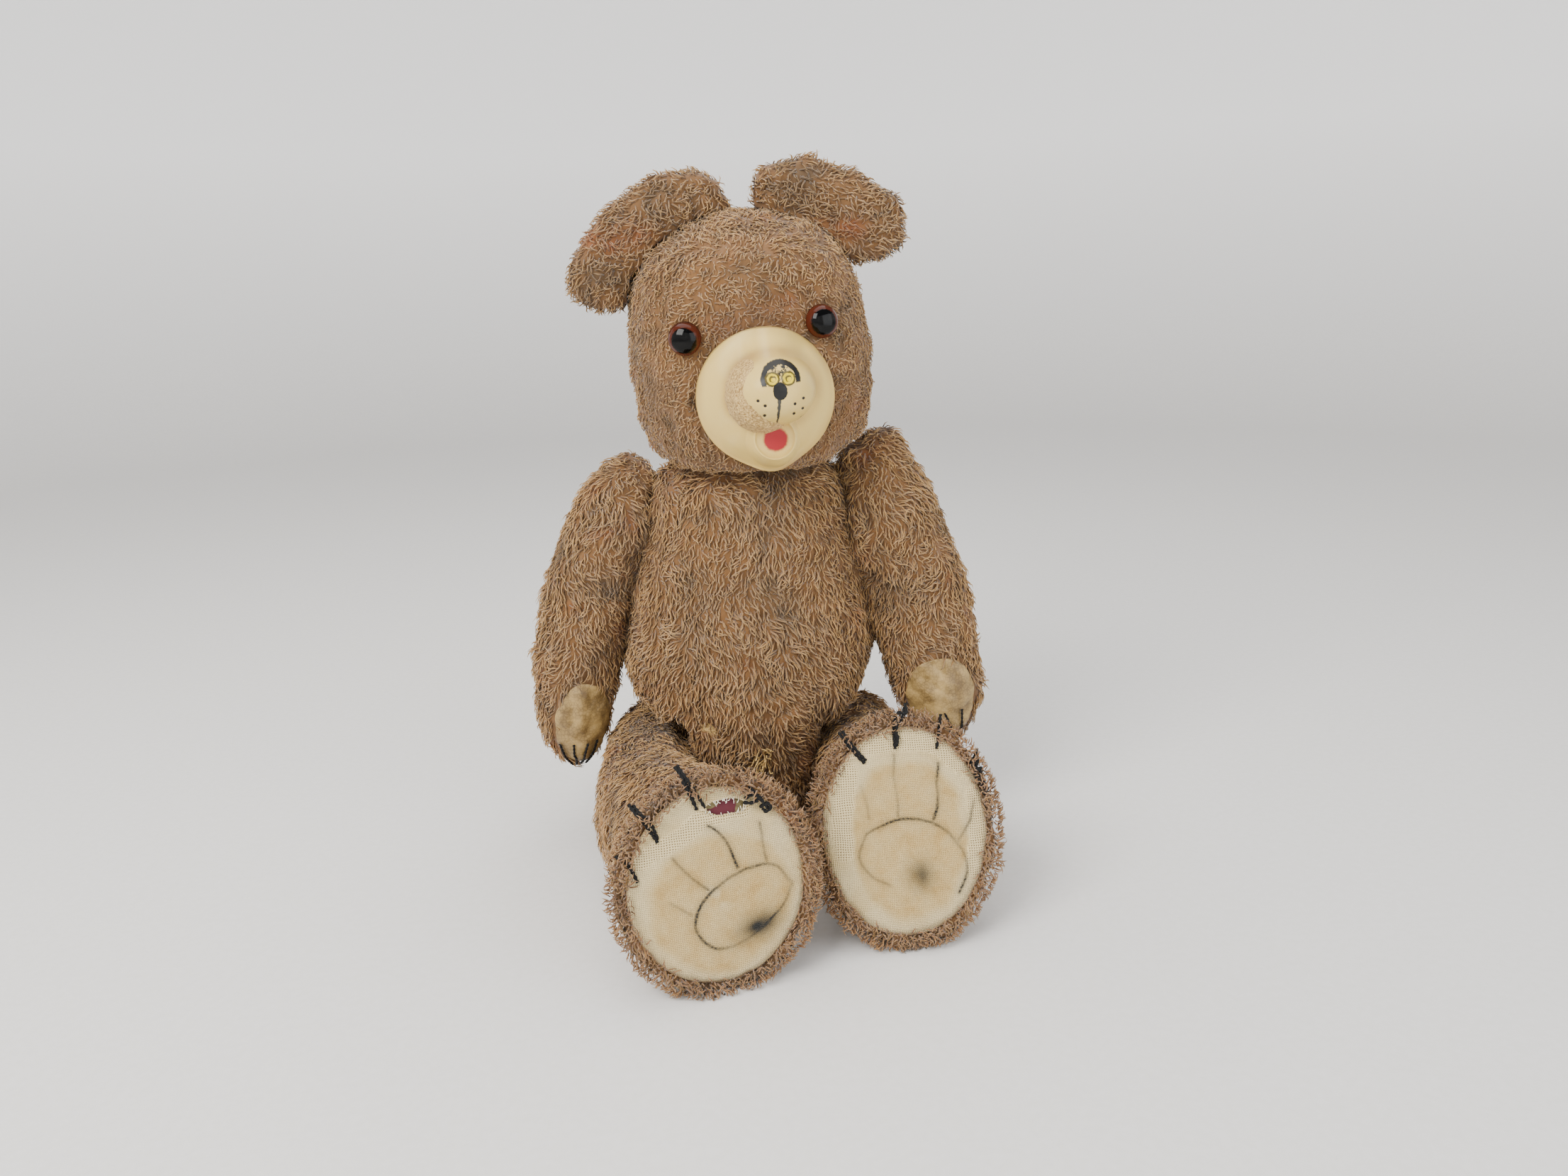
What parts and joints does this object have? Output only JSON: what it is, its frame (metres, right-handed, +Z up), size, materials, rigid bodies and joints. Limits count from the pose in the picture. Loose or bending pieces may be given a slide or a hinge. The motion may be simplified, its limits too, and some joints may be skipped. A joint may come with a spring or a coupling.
{
  "type": "threadbare teddy bear",
  "caption": "Worn plush bear, sitting with its legs forward, with a moulded rubber muzzle, glass eyes, folded ears and cloth foot pads; head, arms and legs turn on disc joints.",
  "frame": {"origin": "middle of the flat patch under the torso that the bear sits on", "axes": "+Z up, the face and the feet towards -Y, the bear's own left side at +X"},
  "size_m": [0.2155, 0.2146, 0.3083],
  "materials": {
    "worn_plush": "worn wavy mohair-like pile, matted and dirty",
    "moulded_rubber": "cast cream rubber mask with painted nose and mouth, chipped and grimy",
    "pad_cotton": "plain woven cotton, worn thin, with drawn lines and smudges",
    "hand_pad_cloth": "coated cloth gone stiff and yellow",
    "eye_glass": "brown glass with a black pupil, glossy",
    "claw_yarn": "black twisted yarn",
    "wood_wool": "fine wood shavings, tightly packed",
    "pressed_card": "pressed card, matt",
    "steel_wire": "drawn steel, dulled"
  },
  "bodies": {
    "torso": {"torso_skin": "worn_plush", "torso_stuffing": "wood_wool", "neck_disc_inner": "pressed_card", "shoulder_disc_inner_left": "pressed_card", "shoulder_disc_inner_right": "pressed_card", "hip_disc_inner_left": "pressed_card", "hip_disc_inner_right": "pressed_card"},
    "head": {"head_skin": "worn_plush", "head_stuffing": "wood_wool", "muzzle": "moulded_rubber", "ear_left": "worn_plush", "ear_right": "worn_plush", "eye_left": "eye_glass", "eye_right": "eye_glass", "eye_shank_left": "steel_wire", "eye_shank_right": "steel_wire", "neck_disc_outer": "pressed_card", "neck_pin": "steel_wire"},
    "arm_left": {"arm_skin_left": "worn_plush", "arm_stuffing_left": "wood_wool", "hand_pad_left": "hand_pad_cloth", "hand_claw_left_1": "claw_yarn", "hand_claw_left_2": "claw_yarn", "hand_claw_left_3": "claw_yarn", "hand_claw_left_4": "claw_yarn", "shoulder_disc_outer_left": "pressed_card", "shoulder_pin_left": "steel_wire"},
    "arm_right": {"arm_skin_right": "worn_plush", "arm_stuffing_right": "wood_wool", "hand_pad_right": "hand_pad_cloth", "hand_claw_right_1": "claw_yarn", "hand_claw_right_2": "claw_yarn", "hand_claw_right_3": "claw_yarn", "hand_claw_right_4": "claw_yarn", "shoulder_disc_outer_right": "pressed_card", "shoulder_pin_right": "steel_wire"},
    "leg_left": {"leg_skin_left": "worn_plush", "leg_stuffing_left": "wood_wool", "foot_pad_left": "pad_cotton", "sole_card_left": "pressed_card", "foot_claw_left_1": "claw_yarn", "foot_claw_left_2": "claw_yarn", "foot_claw_left_3": "claw_yarn", "foot_claw_left_4": "claw_yarn", "hip_disc_outer_left": "pressed_card", "hip_pin_left": "steel_wire"},
    "leg_right": {"leg_skin_right": "worn_plush", "leg_stuffing_right": "wood_wool", "foot_pad_right": "pad_cotton", "sole_card_right": "pressed_card", "foot_claw_right_1": "claw_yarn", "foot_claw_right_2": "claw_yarn", "foot_claw_right_3": "claw_yarn", "foot_claw_right_4": "claw_yarn", "hip_disc_outer_right": "pressed_card", "hip_pin_right": "steel_wire"}
  },
  "joints": [
    {"name": "neck_turn", "type": "hinge", "parent": "torso", "child": "head", "pos_m": [0.004, 0.001, 0.176], "axis": [0, 0, 1], "range_deg": [-45, 20]},
    {"name": "shoulder_swing_left", "type": "hinge", "parent": "torso", "child": "arm_left", "pos_m": [0.044, 0.006, 0.154], "axis": [-0.9743, 0, -0.2251], "range_deg": [-40, 90]},
    {"name": "shoulder_swing_right", "type": "hinge", "parent": "torso", "child": "arm_right", "pos_m": [-0.044, 0.006, 0.154], "axis": [-0.9743, 0, 0.2251], "range_deg": [-40, 90]},
    {"name": "hip_swing_left", "type": "hinge", "parent": "torso", "child": "leg_left", "pos_m": [0.028, 0.005, 0.03], "axis": [1, 0, 0], "range_deg": [0, 95]},
    {"name": "hip_swing_right", "type": "hinge", "parent": "torso", "child": "leg_right", "pos_m": [-0.028, 0.005, 0.03], "axis": [1, 0, 0], "range_deg": [0, 95]}
  ]
}
